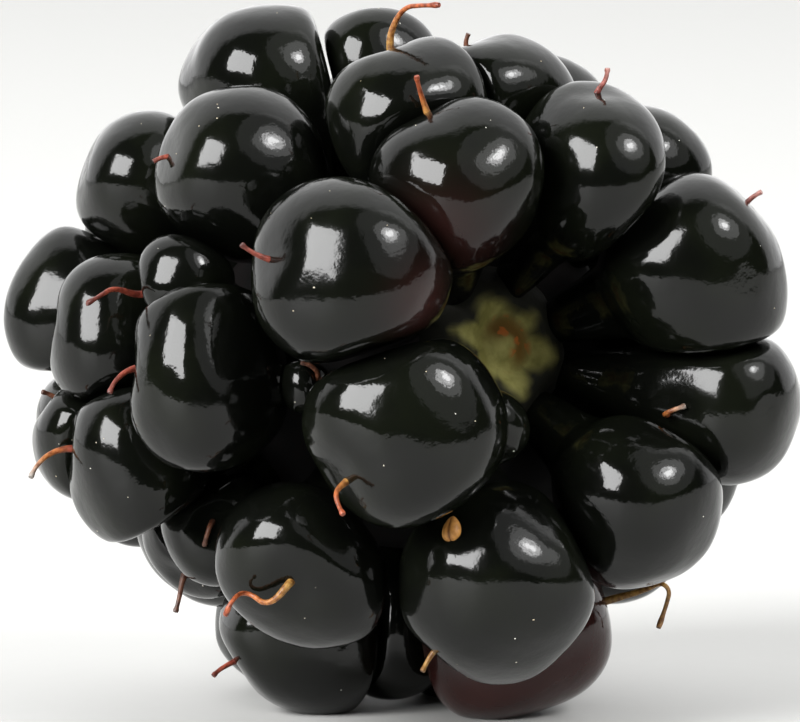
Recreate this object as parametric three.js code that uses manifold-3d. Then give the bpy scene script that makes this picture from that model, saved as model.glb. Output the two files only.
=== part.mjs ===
// A bramble berry as picked, lying on its side: 55 drupelets grown together round a pale receptacle,
// most with the withered style that they flowered with. Millimetres, +Z up. The berry lies on Z = 0
// with its stem end towards -Y and a little raised, and the origin is under its middle.
import * as THREE from 'three';
import { mergeVertices } from 'three/addons/utils/BufferGeometryUtils.js';
import Module from 'manifold-3d';

// ---- Driving dimensions ---------------------------------------------------------------------
const AXIS_TILT = 10; // degrees that the stem end is raised above the tip
const MIDDLE = { x: 0.361, y: -0.502, z: 8.72 }; // middle of the carrier: the berry lies on Z = 0
const CARRIER = { along: 9.2, across: 7.7, up: 7.15 }; // semi-axes of the surface of drupelet middles
const SEED = 20177; // starts every random draw

// One drupelet
const SKIN_POWER = 2.2; // 2 is an ellipsoid, more is boxier
const SKIN_MERIDIANS = 12; // sides round its outward pole
const SKIN_PARALLELS = [16, 34, 52, 72, 98]; // degrees from its outward pole
const MOUTH_RING = 50; // up to so many degrees back, its inner end shows in the open stem end
const INNER_PARALLELS = [120, 150]; // what such a drupelet has more
const BELLY = 1.15; // how far in its round body goes, as a share of how far out it goes
const ROOT_SHARE = 0.56; // how far in its root goes, as a share of the way to the berry's middle
const ROOT_WIDTH = 0.4; // how wide its root is, as a share of its body
const ROOT_BLEND = 6; // how sharply the body turns into the root
const WAVE = 0.025; // unevenness of the skin, as a share of its radius, in each of three waves
const WAVES = [
  { side: 3.1, back: 0, out: 0 }, // turns of each wave, in radians, for a step of 1 along
  { side: 0, back: 2.7, out: 1.3 }, // each of the drupelet's own directions
  { side: -1.9, back: 0, out: 3.6 },
];
const DIMPLE_DEPTH = 0.3; // hollow round the foot of the style
const DIMPLE_SPREAD = 30; // degrees in which the hollow fades
const PRESS = 14; // how sharply free skin turns into a flat pressed by a neighbour
const SEAM = 0.05; // crack between two drupelets that touch
const NEAR = 6.5; // middles of touching drupelets are closer than this
const SMALLEST = 2; // a narrower drupelet presses on none: it has grown into its neighbours

// One withered style: a thread that tapers, sunk into the skin at its foot
const STYLE_FOOT_RADIUS = 0.13;
const STYLE_TIP_RADIUS = 0.07;
const STYLE_SUNK = 0.3;
const STYLE_SIDES = 3;
const STYLE_STEP = 0.4; // length of one straight piece of it
const ANTHER = { on: 11, foot: [100, 125], width: 0.5, length: 0.68 }; // dried anther stuck to a drupelet

// Profiles turned about the axis: [distance along it towards the stem, radius]
const RECEPTACLE = [
  [-6.4, 0], [-6.2, 0.7], [-5.4, 1.25], [-3.5, 1.8], [-1, 2.25], [1.4, 2.45], [3.4, 2.3], [4.6, 1.95],
  [5.05, 1.6], [5.1, 1.15], [4.85, 0.95], [4.8, 0.5], [4.95, 0.3], [5.0, 0],
];
const RECEPTACLE_SIDES = 20;
const GAP = 0.3; // room between the receptacle and the flesh round it
const MOUTH = [[4.4, 2.35], [5.4, 2.0], [6.4, 1.6], [6.4, 0]]; // open way over the receptacle's rim
const FLESH = [
  [-8, 0], [-7.3, 1.8], [-5.6, 3.2], [-3, 4.2], [0, 4.7], [2.6, 4.6], [4.3, 4], [5, 3.2], [5, 0],
];
const FLESH_SIDES = 14;
const SURFACE = { across: 40, depth: 4 }; // slab under the berry, which flattens what would sink into it
const SAME_POINT = 1e-4; // corners closer than this are one

// Drupelets of the stem side, one by one. at: degrees back from the stem end, and degrees round the
// axis from the top. size: width round the axis, length along it and reach outwards. rise: how far
// its middle is off the carrier. foot: where its style stands, as a lean from straight out and a
// heading from straight back. style: its length. way: the leans and headings that it runs through.
const PLACED = [
  // round the stem end
  {
    at: [35, 12.5],
    size: [3.1, 4.7, 4.1],
    rise: 0.1,
    foot: [32, -13],
    style: 0.68,
    way: [[10, 76], [41, -30]],
  },
  { at: [31, 70], size: [4.9, 4.5, 4.1], rise: 0.1, foot: [41, -58], style: 0.43, way: [[3, -74]] },
  { at: [38.5, 116], size: [4.0, 4.3, 4.3], rise: 0.03, foot: [111, 148], style: 0.82, way: [[43, -65]] },
  { at: [41, 155.7], size: [4.2, 4.5, 3.7], rise: 0, foot: [45, 30], style: 0, way: [] },
  {
    at: [40.8, 244.3],
    size: [4.5, 4.8, 4.0],
    rise: 0,
    foot: [53, -11],
    style: 1.1,
    way: [[38, -4], [45, -95], [45, -112]],
  },
  {
    at: [45.4, 288.6],
    size: [4.5, 5.1, 4.1],
    rise: 0.75,
    foot: [49, -7],
    style: 0.78,
    way: [[49, 12], [47, 35]],
  },
  {
    at: [38.5, 328],
    size: [4.0, 4.2, 4.1],
    rise: 0.15,
    foot: [54, 19],
    style: 1,
    way: [[25, 7], [28, 25]],
  },
  { at: [30, 220], size: [1.8, 1.8, 1.8], rise: -1.3, foot: [20, 0], style: 0, way: [] },
  { at: [60, 262], size: [1.3, 1.3, 1.3], rise: -1.4, foot: [87, 165], style: 0.82, way: [[60, 31]] },
  // second ring
  { at: [57.5, 3], size: [3.9, 3.5, 3.4], rise: -0.05, foot: [44, -41], style: 0.3, way: [[18, 117]] },
  { at: [57, 46], size: [3.2, 3.6, 3.8], rise: -0.5, foot: [50, 20], style: 0.4, way: [[20, 30]] },
  { at: [54.5, 193], size: [4.6, 5.1, 4.2], rise: 0.3, foot: [64, 28], style: 0.54, way: [[32, 46]] },
  {
    at: [72, 224.6],
    size: [4.3, 4.2, 3.1],
    rise: 0.28,
    foot: [43, 148],
    style: 2.5,
    way: [[46, -6], [123, 30], [30, 130], [82, -33]],
  },
  {
    at: [73.6, 269.7],
    size: [4.9, 3.7, 3.8],
    rise: 0.05,
    foot: [43, 13],
    style: 1,
    way: [[31, -68], [62, -89]],
  },
  { at: [76.3, 313], size: [4.3, 4.4, 4.0], rise: 0.05, foot: [36, -52], style: 0.38, way: [[86, -58]] },
  {
    at: [57, 340.3],
    size: [4.3, 3.7, 3.8],
    rise: 0.08,
    foot: [40, 15],
    style: 2.5,
    way: [[25, 127], [68, 180], [77, 165]],
  },
  // the girth
  { at: [88, 359], size: [3.0, 3.2, 3.4], rise: 0.1, foot: [30, 30], style: 0, way: [] },
  {
    at: [82, 166],
    size: [5.2, 4.3, 4.3],
    rise: 0.1,
    foot: [88, -108],
    style: 3.4,
    way: [[86, -147], [95, 178], [61, -13], [47, 92]],
  },
  {
    at: [101, 199],
    size: [4.8, 3.7, 3.6],
    rise: 0,
    foot: [57, 71],
    style: 0.73,
    way: [[52, 95], [36, 103]],
  },
  { at: [94, 233], size: [2.7, 2.8, 2.8], rise: -0.9, foot: [70, 152], style: 0.77, way: [[66, -45]] },
  {
    at: [104, 229],
    size: [3.0, 3.2, 3.2],
    rise: -1,
    foot: [22, -166],
    style: 0.95,
    way: [[34, -89], [25, -110]],
  },
  {
    at: [95.4, 253.4],
    size: [4.2, 4.2, 3.1],
    rise: 0.2,
    foot: [53, 48],
    style: 1.4,
    way: [[13, 30], [20, -93], [43, -118]],
  },
  { at: [100.5, 280.5], size: [3.9, 3.6, 3.3], rise: -0.2, foot: [40, 20], style: 0, way: [] },
  {
    at: [79, 288],
    size: [2.3, 2.3, 2.3],
    rise: 0,
    foot: [62, -30],
    style: 2.3,
    way: [[2, -173], [43, -125], [38, -88]],
  },
  { at: [97.1, 341.9], size: [4.3, 4.8, 4.1], rise: 0.5, foot: [45, -60], style: 0, way: [] },
  // behind it
  { at: [109, 260], size: [3.2, 3.6, 3.4], rise: 0, foot: [60, 76], style: 0.4, way: [[29, 110]] },
  { at: [125, 291], size: [4.3, 3.4, 3.6], rise: 0.1, foot: [40, 10], style: 0.5, way: [[30, 20]] },
  { at: [110.3, 318], size: [3.8, 3.9, 3.4], rise: 0.12, foot: [35, -60], style: 0, way: [] },
  // low at the back, where it rests
  { at: [105, 158], size: [4.3, 4.3, 4.3], rise: 0, foot: [50, 20], style: 0, way: [] },
  { at: [128, 182], size: [4.4, 4.4, 4.4], rise: 0, foot: [60, 10], style: 0, way: [] },
  { at: [130, 213], size: [4.0, 4.0, 4.0], rise: -1.4, foot: [60, 10], style: 0, way: [] },
  { at: [100, 181], size: [3.0, 3.4, 3.2], rise: -0.3, foot: [60, 10], style: 0, way: [] },
];

// Rows of the far side, by a rule: degrees back, the turns they stand at, their size and rise
const ROWS = [
  { back: 63, turns: [90, 125], size: 4.0, rise: -0.95 },
  { back: 84, turns: [32, 68, 104, 134], size: 4.1, rise: -0.6 },
  { back: 107, turns: [17, 50, 84, 118], size: 4.1, rise: -0.4 },
  { back: 130, turns: [352, 29, 66, 104, 142, 257, 322], size: 4.0, rise: -0.8 },
  { back: 154, turns: [20, 92, 164, 236, 300], size: 4.1, rise: -0.4 },
  { back: 180, turns: [0], size: 4.1, rise: -0.4 },
];
const ROW_SHIFT = { back: 5, turn: 6, size: 0.06 }; // whole width of the random shifts in a row
const ROW_STYLE = { lean: [25, 50], heading: [-40, 40], length: [0.4, 1.2], curl: [10, 60] };

const wasm = await Module();
wasm.setup();

const rad = THREE.MathUtils.degToRad;
const STEMWARD = new THREE.Vector3(0, -Math.cos(rad(AXIS_TILT)), Math.sin(rad(AXIS_TILT)));
const SIDEWAYS = new THREE.Vector3(1, 0, 0);
const UPWARD = new THREE.Vector3(0, Math.sin(rad(AXIS_TILT)), Math.cos(rad(AXIS_TILT)));

function drawer(seed) {
  // Park and Miller's generator: the same draws on every run
  let state = seed;
  return () => {
    state = (state * 16807) % 2147483647;
    return state / 2147483647;
  };
}

function fromBerry(along, across, up) {
  return new THREE.Vector3()
    .addScaledVector(STEMWARD, along)
    .addScaledVector(SIDEWAYS, across)
    .addScaledVector(UPWARD, up);
}

// ---- Where the drupelets stand --------------------------------------------------------------
function seat([backDegrees, turnDegrees], rise) {
  // the middle of a drupelet, with its outward, backward and sideways directions
  const t = rad(backDegrees);
  const f = rad(turnDegrees);
  const along = CARRIER.along * Math.cos(t);
  const across = CARRIER.across * Math.sin(t) * Math.sin(f);
  const up = CARRIER.up * Math.sin(t) * Math.cos(f);
  const out = fromBerry(along / CARRIER.along ** 2, across / CARRIER.across ** 2, up / CARRIER.up ** 2);
  out.normalize();
  const back = fromBerry(
    -CARRIER.along * Math.sin(t),
    CARRIER.across * Math.cos(t) * Math.sin(f),
    CARRIER.up * Math.cos(t) * Math.cos(f),
  );
  back.addScaledVector(out, -back.dot(out)).normalize();
  const middle = fromBerry(along, across, up).addScaledVector(out, rise);
  return { middle, out, back, side: new THREE.Vector3().crossVectors(back, out) };
}

function heading(drupelet, [lean, turn]) {
  // a direction that leans from straight out towards a heading, which is 0 for straight back
  const level = Math.sin(rad(lean));
  return drupelet.out.clone().multiplyScalar(Math.cos(rad(lean)))
    .addScaledVector(drupelet.back, level * Math.cos(rad(turn)))
    .addScaledVector(drupelet.side, level * Math.sin(rad(turn)));
}

function rowDrupelets(draw) {
  const between = ([low, high]) => low + (high - low) * draw();
  return ROWS.flatMap(({ back, turns, size, rise }) => turns.map((turn) => {
    const grown = size * (1 + ROW_SHIFT.size * (draw() - 0.5));
    const at = [back + ROW_SHIFT.back * (draw() - 0.5), turn + ROW_SHIFT.turn * (draw() - 0.5)];
    const foot = [between(ROW_STYLE.lean), between(ROW_STYLE.heading)];
    const style = between(ROW_STYLE.length);
    const way = [foot, [foot[0] + between(ROW_STYLE.curl), foot[1]]];
    return { at, size: [grown, size, grown], rise, foot, style, way };
  }));
}

function layOut() {
  const draw = drawer(SEED);
  const all = [...PLACED, ...rowDrupelets(draw)].map((given) => {
    const placed = seat(given.at, given.rise);
    const [width, length, reach] = given.size;
    const root = ROOT_SHARE * placed.middle.length();
    const phases = WAVES.map(() => draw() * 2 * Math.PI);
    return { ...given, ...placed, width, length, reach, root, phases, toStyle: heading(placed, given.foot) };
  });
  all.forEach((drupelet) => {
    drupelet.flats = flats(drupelet, all);
  });
  return all;
}

// ---- The shape of a drupelet: its radius in any direction from its middle ---------------------
function freeRadius(drupelet, direction) {
  // the skin that it would have with no neighbours
  const s = direction.dot(drupelet.side);
  const m = direction.dot(drupelet.back);
  const n = direction.dot(drupelet.out);
  const level = Math.abs((2 * s) / drupelet.width) ** SKIN_POWER
    + Math.abs((2 * m) / drupelet.length) ** SKIN_POWER;
  const round = (depth, share) => (
    (level / share ** SKIN_POWER + Math.abs(n / depth) ** SKIN_POWER) ** (-1 / SKIN_POWER));
  const body = round((n < 0 ? BELLY : 1) * (drupelet.reach / 2), 1);
  const root = n < 0 ? round(drupelet.root, ROOT_WIDTH) : 0;
  const both = (body ** ROOT_BLEND + root ** ROOT_BLEND) ** (1 / ROOT_BLEND);
  const waves = WAVES.map(({ side, back, out }, i) => (
    Math.sin(side * s + back * m + out * n + drupelet.phases[i])));
  const wave = waves.reduce((one, two) => one + two);
  const offStyle = THREE.MathUtils.radToDeg(direction.angleTo(drupelet.toStyle));
  const dimple = DIMPLE_DEPTH * Math.exp(-((offStyle / DIMPLE_SPREAD) ** 2));
  return both * (1 + WAVE * wave) - dimple;
}

function flats(drupelet, all) {
  // where neighbours press on it: walls that stand straight out from the berry, and that share out
  // the way between two middles by their size
  const large = all.filter((other) => Math.min(other.width, drupelet.width) > SMALLEST);
  const others = large.filter((other) => other !== drupelet);
  const near = others.filter((other) => other.middle.distanceTo(drupelet.middle) < NEAR);
  return near.map((other) => {
    const towards = other.middle.clone().sub(drupelet.middle);
    const apart = towards.length();
    towards.normalize();
    const mine = freeRadius(drupelet, towards);
    const theirs = freeRadius(other, towards.clone().negate());
    const outward = drupelet.out.clone().add(other.out).normalize();
    const normal = towards.clone().addScaledVector(outward, -towards.dot(outward)).normalize();
    const distance = ((apart * mine) / (mine + theirs)) * towards.dot(normal) - SEAM / 2;
    return { normal, distance };
  });
}

function skinRadius(drupelet, direction) {
  let sum = freeRadius(drupelet, direction) ** -PRESS;
  drupelet.flats.forEach(({ normal, distance }) => {
    const facing = Math.max(direction.dot(normal), 0);
    sum += (facing / distance) ** PRESS;
  });
  return sum ** (-1 / PRESS);
}

// ---- Solids -----------------------------------------------------------------------------------
function solid(geometry) {
  geometry.deleteAttribute('normal');
  geometry.deleteAttribute('uv');
  const merged = mergeVertices(geometry, SAME_POINT);
  const vertProperties = new Float32Array(merged.attributes.position.array);
  const triVerts = new Uint32Array(merged.index.array);
  return new wasm.Manifold(new wasm.Mesh({ numProp: 3, vertProperties, triVerts }));
}

function bodyOf(drupelet) {
  // meridians run from the outward pole to the root, and parallels are closest on the open side
  const inner = drupelet.at[0] < MOUTH_RING ? INNER_PARALLELS : [];
  const parallels = [...SKIN_PARALLELS, ...inner];
  const geometry = new THREE.SphereGeometry(1, SKIN_MERIDIANS, parallels.length + 1);
  const position = geometry.attributes.position;
  const basis = new THREE.Matrix4().makeBasis(drupelet.side, drupelet.out, drupelet.back.clone().negate());
  const polar = [0, ...parallels, 180].map(rad);
  const direction = new THREE.Vector3();
  for (let i = 0; i < position.count; i += 1) {
    const row = Math.floor(i / (SKIN_MERIDIANS + 1));
    const column = (i % (SKIN_MERIDIANS + 1)) + 0.5 * (row % 2);
    direction.setFromSphericalCoords(1, polar[row], (2 * Math.PI * column) / SKIN_MERIDIANS);
    direction.applyMatrix4(basis);
    const radius = skinRadius(drupelet, direction);
    position.setXYZ(i, ...direction.multiplyScalar(radius).add(drupelet.middle).toArray());
  }
  return solid(geometry);
}

function styleThread(drupelet) {
  const { toStyle, style, way } = drupelet;
  const radius = skinRadius(drupelet, toStyle) - STYLE_SUNK;
  const steps = Math.round((style + STYLE_SUNK) / STYLE_STEP) + 1;
  const directions = [toStyle, ...way.map((each) => heading(drupelet, each))];
  const point = drupelet.middle.clone().addScaledVector(toStyle, radius);
  const across = new THREE.Vector3().crossVectors(toStyle, drupelet.back).normalize();
  const rings = [];
  for (let k = 0; k <= steps; k += 1) {
    const place = Math.min((k / steps) * (directions.length - 1), directions.length - 1.001);
    const from = Math.floor(place);
    const along = directions[from].clone().lerp(directions[from + 1], place - from).normalize();
    across.addScaledVector(along, -across.dot(along)).normalize();
    const over = new THREE.Vector3().crossVectors(along, across);
    rings.push({ point: point.clone(), across: across.clone(), over });
    point.addScaledVector(along, (style + STYLE_SUNK) / steps);
  }
  const geometry = new THREE.CylinderGeometry(STYLE_TIP_RADIUS, STYLE_FOOT_RADIUS, 1, STYLE_SIDES, steps);
  const position = geometry.attributes.position;
  const vertex = new THREE.Vector3();
  for (let i = 0; i < position.count; i += 1) {
    vertex.fromBufferAttribute(position, i);
    const ring = rings[Math.round((vertex.y + 0.5) * steps)];
    const offset = ring.across.clone().multiplyScalar(vertex.x).addScaledVector(ring.over, -vertex.z);
    position.setXYZ(i, ...offset.add(ring.point).toArray());
  }
  return solid(geometry);
}

function anther(drupelet) {
  const to = heading(drupelet, ANTHER.foot);
  const geometry = new THREE.IcosahedronGeometry(1, 1);
  geometry.scale(ANTHER.width / 2, ANTHER.width / 2, ANTHER.length / 2);
  const middle = drupelet.middle.clone().addScaledVector(to, skinRadius(drupelet, to));
  return solid(geometry.translate(middle.x, middle.y, middle.z));
}

function lathe(profile, sides) {
  // profiles turn about Y, so Y is laid along the berry's axis towards the stem
  const points = profile.map(([along, radius]) => new THREE.Vector2(radius, along));
  const laid = new THREE.Matrix4().makeBasis(SIDEWAYS, STEMWARD, UPWARD.clone().negate());
  return new THREE.LatheGeometry(points, sides).applyMatrix4(laid);
}

function outerShell(joined) {
  // the outer surface alone: pockets sealed between the roots are filled
  const { vertProperties, triVerts } = joined.getMesh();
  const parent = Array.from({ length: vertProperties.length / 3 }, (_, i) => i);
  const find = (i) => {
    let k = i;
    while (parent[k] !== k) {
      parent[k] = parent[parent[k]];
      k = parent[k];
    }
    return k;
  };
  for (let i = 0; i < triVerts.length; i += 3) {
    parent[find(triVerts[i])] = find(triVerts[i + 1]);
    parent[find(triVerts[i + 2])] = find(triVerts[i + 1]);
  }
  const shells = new Map();
  for (let i = 0; i < triVerts.length; i += 3) {
    const key = find(triVerts[i]);
    if (!shells.has(key)) shells.set(key, []);
    shells.get(key).push(triVerts[i], triVerts[i + 1], triVerts[i + 2]);
  }
  const largest = [...shells.values()].sort((one, two) => two.length - one.length)[0];
  const geometry = new THREE.BufferGeometry();
  geometry.setAttribute('position', new THREE.BufferAttribute(vertProperties, 3));
  geometry.setIndex(largest);
  return geometry;
}

function hollowForReceptacle() {
  const sides = RECEPTACLE.slice(1).filter(([along]) => along < MOUTH[0][0]);
  const wider = sides.map(([along, radius]) => [along, radius + GAP]);
  return solid(lathe([[RECEPTACLE[0][0] - GAP, 0], ...wider, ...MOUTH], RECEPTACLE_SIDES));
}

function restingSurface() {
  // what is under the berry: it leaves a small flat on each drupelet that the weight lies on
  const slab = new THREE.BoxGeometry(SURFACE.across, SURFACE.across, SURFACE.depth);
  return solid(slab.translate(0, 0, -MIDDLE.z - SURFACE.depth / 2));
}

function cluster() {
  const all = layOut();
  const threads = all.filter(({ style }) => style > 0).map(styleThread);
  const parts = [...all.map(bodyOf), ...threads, anther(all[ANTHER.on])];
  const joined = parts.reduce((sum, part) => sum.add(part), solid(lathe(FLESH, FLESH_SIDES)));
  return outerShell(joined.subtract(hollowForReceptacle()).subtract(restingSurface()));
}

function named(name, geometry, color, roughness) {
  const mesh = new THREE.Mesh(geometry, new THREE.MeshStandardMaterial({ color, roughness, metalness: 0 }));
  mesh.name = name;
  mesh.position.set(MIDDLE.x, MIDDLE.y, MIDDLE.z);
  return mesh;
}

const group = new THREE.Group();
group.add(named('drupelets', cluster(), 0x14110f, 0.12));
group.add(named('receptacle', lathe(RECEPTACLE, RECEPTACLE_SIDES), 0x8a8248, 0.55));

export default group;
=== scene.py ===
"""Looks of a bramble berry that lies on its side as picked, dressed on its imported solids.

Lengths are millimetres and angles degrees until a mesh is made, which is in metres in the row frame:
+Z up, the berry's stem end towards -Y and a little raised, the surface that it lies on at Z = 0.
"""

import logging
import math
from dataclasses import dataclass, field
from enum import Enum
from typing import Any, Iterator, Sequence

import bpy
import numpy as np
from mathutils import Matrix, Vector

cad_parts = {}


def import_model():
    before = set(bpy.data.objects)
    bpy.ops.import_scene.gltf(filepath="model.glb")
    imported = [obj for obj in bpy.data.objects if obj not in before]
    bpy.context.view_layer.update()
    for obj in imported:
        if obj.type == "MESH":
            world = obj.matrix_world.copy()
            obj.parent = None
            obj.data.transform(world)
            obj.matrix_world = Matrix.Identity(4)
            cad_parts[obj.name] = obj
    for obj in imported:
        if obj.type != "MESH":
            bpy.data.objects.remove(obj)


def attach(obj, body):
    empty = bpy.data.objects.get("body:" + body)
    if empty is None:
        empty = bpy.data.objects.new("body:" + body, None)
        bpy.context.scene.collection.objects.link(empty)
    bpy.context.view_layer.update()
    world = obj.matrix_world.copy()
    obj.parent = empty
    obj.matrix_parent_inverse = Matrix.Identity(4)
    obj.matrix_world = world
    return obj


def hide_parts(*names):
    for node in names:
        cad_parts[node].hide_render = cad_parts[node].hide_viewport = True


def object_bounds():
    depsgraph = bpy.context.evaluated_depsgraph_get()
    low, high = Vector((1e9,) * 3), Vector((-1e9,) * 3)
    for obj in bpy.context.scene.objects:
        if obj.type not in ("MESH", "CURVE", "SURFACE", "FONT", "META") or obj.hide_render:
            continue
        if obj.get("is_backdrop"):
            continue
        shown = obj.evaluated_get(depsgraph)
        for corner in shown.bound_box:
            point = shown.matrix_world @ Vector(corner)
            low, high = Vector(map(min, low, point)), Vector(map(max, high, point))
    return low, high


LOG = logging.getLogger("bramble berry")
MM = 0.001
ROOT_BODY = "root"

Array = np.ndarray
Pair = tuple[float, float]


# ---- Small helpers ------------------------------------------------------------------------------
def linear(hex_colour: str) -> tuple[float, float, float, float]:
    """Turns an sRGB colour into linear light.

    Args:
        hex_colour: six hex digits, such as "0e100c".

    Returns:
        Red, green, blue and an alpha of 1.
    """
    parts = [int(hex_colour[i : i + 2], 16) / 255 for i in (0, 2, 4)]
    lit = [c / 12.92 if c <= 0.04045 else ((c + 0.055) / 1.055) ** 2.4 for c in parts]
    return lit[0], lit[1], lit[2], 1.0


def per_mm(size: float) -> float:
    """Scale of a texture on Object coordinates, which are metres, whose features are size mm apart."""
    return 1.0 / (size * MM)


def unit(vectors: Array) -> Array:
    """The same vectors at length 1."""
    return vectors / np.linalg.norm(vectors, axis=-1, keepdims=True)


def add_node(tree: Any, kind: str, inputs: dict[Any, Any] | None = None, **settings: Any) -> Any:
    """Adds a node to a tree, with its settings and links.

    Args:
        tree: a shader, world or geometry node tree.
        kind: the node's type name.
        inputs: for each input, by name or place, a value or the output that feeds it.
        settings: the node's own properties.

    Returns:
        The node.
    """
    node = tree.nodes.new(kind)
    for name, value in settings.items():
        setattr(node, name, value)
    for socket, value in (inputs or {}).items():
        if isinstance(value, bpy.types.NodeSocket):
            tree.links.new(value, node.inputs[socket])
        else:
            node.inputs[socket].default_value = value
    return node


def calculate(tree: Any, operation: str, first: Any, second: Any) -> Any:
    """Adds a calculation with two numbers, or the outputs that feed them, and returns its value."""
    inputs = {0: first, 1: second}
    return add_node(tree, "ShaderNodeMath", inputs, operation=operation).outputs["Value"]


def mesh_object(name: str, points: Array, faces: Sequence[Sequence[int]]) -> bpy.types.Object:
    """Makes a smooth mesh object at the origin.

    Args:
        name: the piece's name.
        points: corners in mm.
        faces: corner numbers of each face, anticlockwise from outside.

    Returns:
        The object, linked to the scene.
    """
    mesh = bpy.data.meshes.new(name)
    mesh.from_pydata([tuple(p) for p in np.asarray(points) * MM], [], [tuple(f) for f in faces])
    mesh.shade_smooth()
    mesh.update()
    made = bpy.data.objects.new(name, mesh)
    bpy.context.scene.collection.objects.link(made)
    return made


def set_attribute(piece: bpy.types.Object, name: str, values: Array) -> None:
    """Stores a number, or a colour, for each corner of a piece.

    Args:
        piece: the mesh object.
        name: the attribute's name.
        values: one number a corner, or four.
    """
    values = np.asarray(values, np.float32)
    is_colour = values.ndim > 1
    kind = "FLOAT_COLOR" if is_colour else "FLOAT"
    layer = piece.data.attributes.new(name, kind, "POINT")
    layer.data.foreach_set("color" if is_colour else "value", values.ravel())


def keep_inside(piece: bpy.types.Object, box: tuple[Vector, Vector]) -> None:
    """Flattens what would stand out of a box, whose bottom is the surface that the berry lies on.

    Args:
        piece: the mesh object.
        box: the two corners of the solids' box.
    """
    corners = np.empty(len(piece.data.vertices) * 3, np.float32)
    piece.data.vertices.foreach_get("co", corners)
    inside = np.clip(corners.reshape(-1, 3), *(np.array(corner, np.float32) for corner in box))
    piece.data.vertices.foreach_set("co", inside.ravel())
    piece.data.update()


# ---- The berry's own axes -----------------------------------------------------------------------
@dataclass(frozen=True)
class Axes:
    """How the berry lies: its tilt, its middle, and the surface that carries its drupelets' middles."""

    tilt: float = 10.0
    middle: tuple[float, float, float] = (0.361, -0.502, 8.72)
    along: float = 9.2
    across: float = 7.7
    up: float = 7.15

    @property
    def stemward(self) -> Array:
        """Direction from the middle to the stem end."""
        tilt = math.radians(self.tilt)
        return np.array([0.0, -math.cos(tilt), math.sin(tilt)])

    @property
    def sideways(self) -> Array:
        """Direction across the axis, level."""
        return np.array([1.0, 0.0, 0.0])

    @property
    def upward(self) -> Array:
        """Direction square to the axis, up."""
        tilt = math.radians(self.tilt)
        return np.array([0.0, math.sin(tilt), math.cos(tilt)])

    def point(self, along: Any, across: Any, up: Any) -> Array:
        """A vector from its parts along the three directions, single or as arrays."""
        along, across, up = (np.asarray(v, float)[..., None] for v in (along, across, up))
        return along * self.stemward + across * self.sideways + up * self.upward

    def placed(self, points: Array) -> Array:
        """Points given from the berry's middle, moved to where it lies and kept off the surface."""
        moved = points + np.array(self.middle)
        moved[..., 2] = np.maximum(moved[..., 2], 0.0)
        return moved


AXES = Axes()


class Draw:
    """Park and Miller's generator, so that every run draws the same numbers."""

    def __init__(self, seed: int) -> None:
        """Starts the draws from a seed."""
        self.state = seed

    def __call__(self) -> float:
        """The next number from 0 to 1."""
        self.state = self.state * 16807 % 2147483647
        return self.state / 2147483647

    def between(self, low: float, high: float) -> float:
        """The next number, from low to high."""
        return low + (high - low) * self()


# ---- Where the drupelets stand ------------------------------------------------------------------
class Ring(Enum):
    """The rings of drupelets, from the stem end to the tip. Each is a piece of its own."""

    STEM_END = "drupelets_stem_end"
    SECOND = "drupelets_second_ring"
    GIRTH = "drupelets_girth"
    BEHIND = "drupelets_behind"
    FAR_SIDE = "drupelets_far_side"
    TIP = "drupelets_tip"


class Tint(Enum):
    """Colours of a withered style: at its foot, half way and at its tip."""

    RED = ("6e2c20", "944634", "5e2c24")
    ORANGE = ("a07a3c", "a85c30", "96482a")
    OCHRE = ("8e6e36", "ac8446", "7c5a34")
    PINK = ("6e2c28", "9a5a52", "b08078")
    BROWN = ("4a2a1c", "6e4430", "54382c")
    FADED = ("7a2c22", "b5743c", "8f8a84")


@dataclass(frozen=True)
class Blush:
    """A part of a drupelet that is still wine red.

    lean and heading are where its middle is, and spread is how many degrees it reaches round that.
    """

    amount: float
    lean: float = 60.0
    heading: float = 180.0
    spread: float = 60.0


@dataclass(frozen=True)
class Style:
    """A withered style as it stands on its drupelet.

    foot is a lean from straight out and a heading from straight back, way is the leans and headings
    that it runs through next, and a length of 0 leaves the dimple at its foot alone.
    """

    foot: Pair
    length: float = 0.0
    way: tuple[Pair, ...] = ()
    tint: Tint = Tint.RED


@dataclass(frozen=True)
class Seat:
    """One drupelet as it stands in the berry.

    at is degrees back from the stem end and round the axis from the top, size is width round the axis,
    length along it and reach outwards, and rise is how far its middle is off the carrier.
    """

    ring: Ring
    at: Pair
    size: tuple[float, float, float]
    rise: float
    style: Style
    blush: Blush = Blush(0.0)


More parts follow.
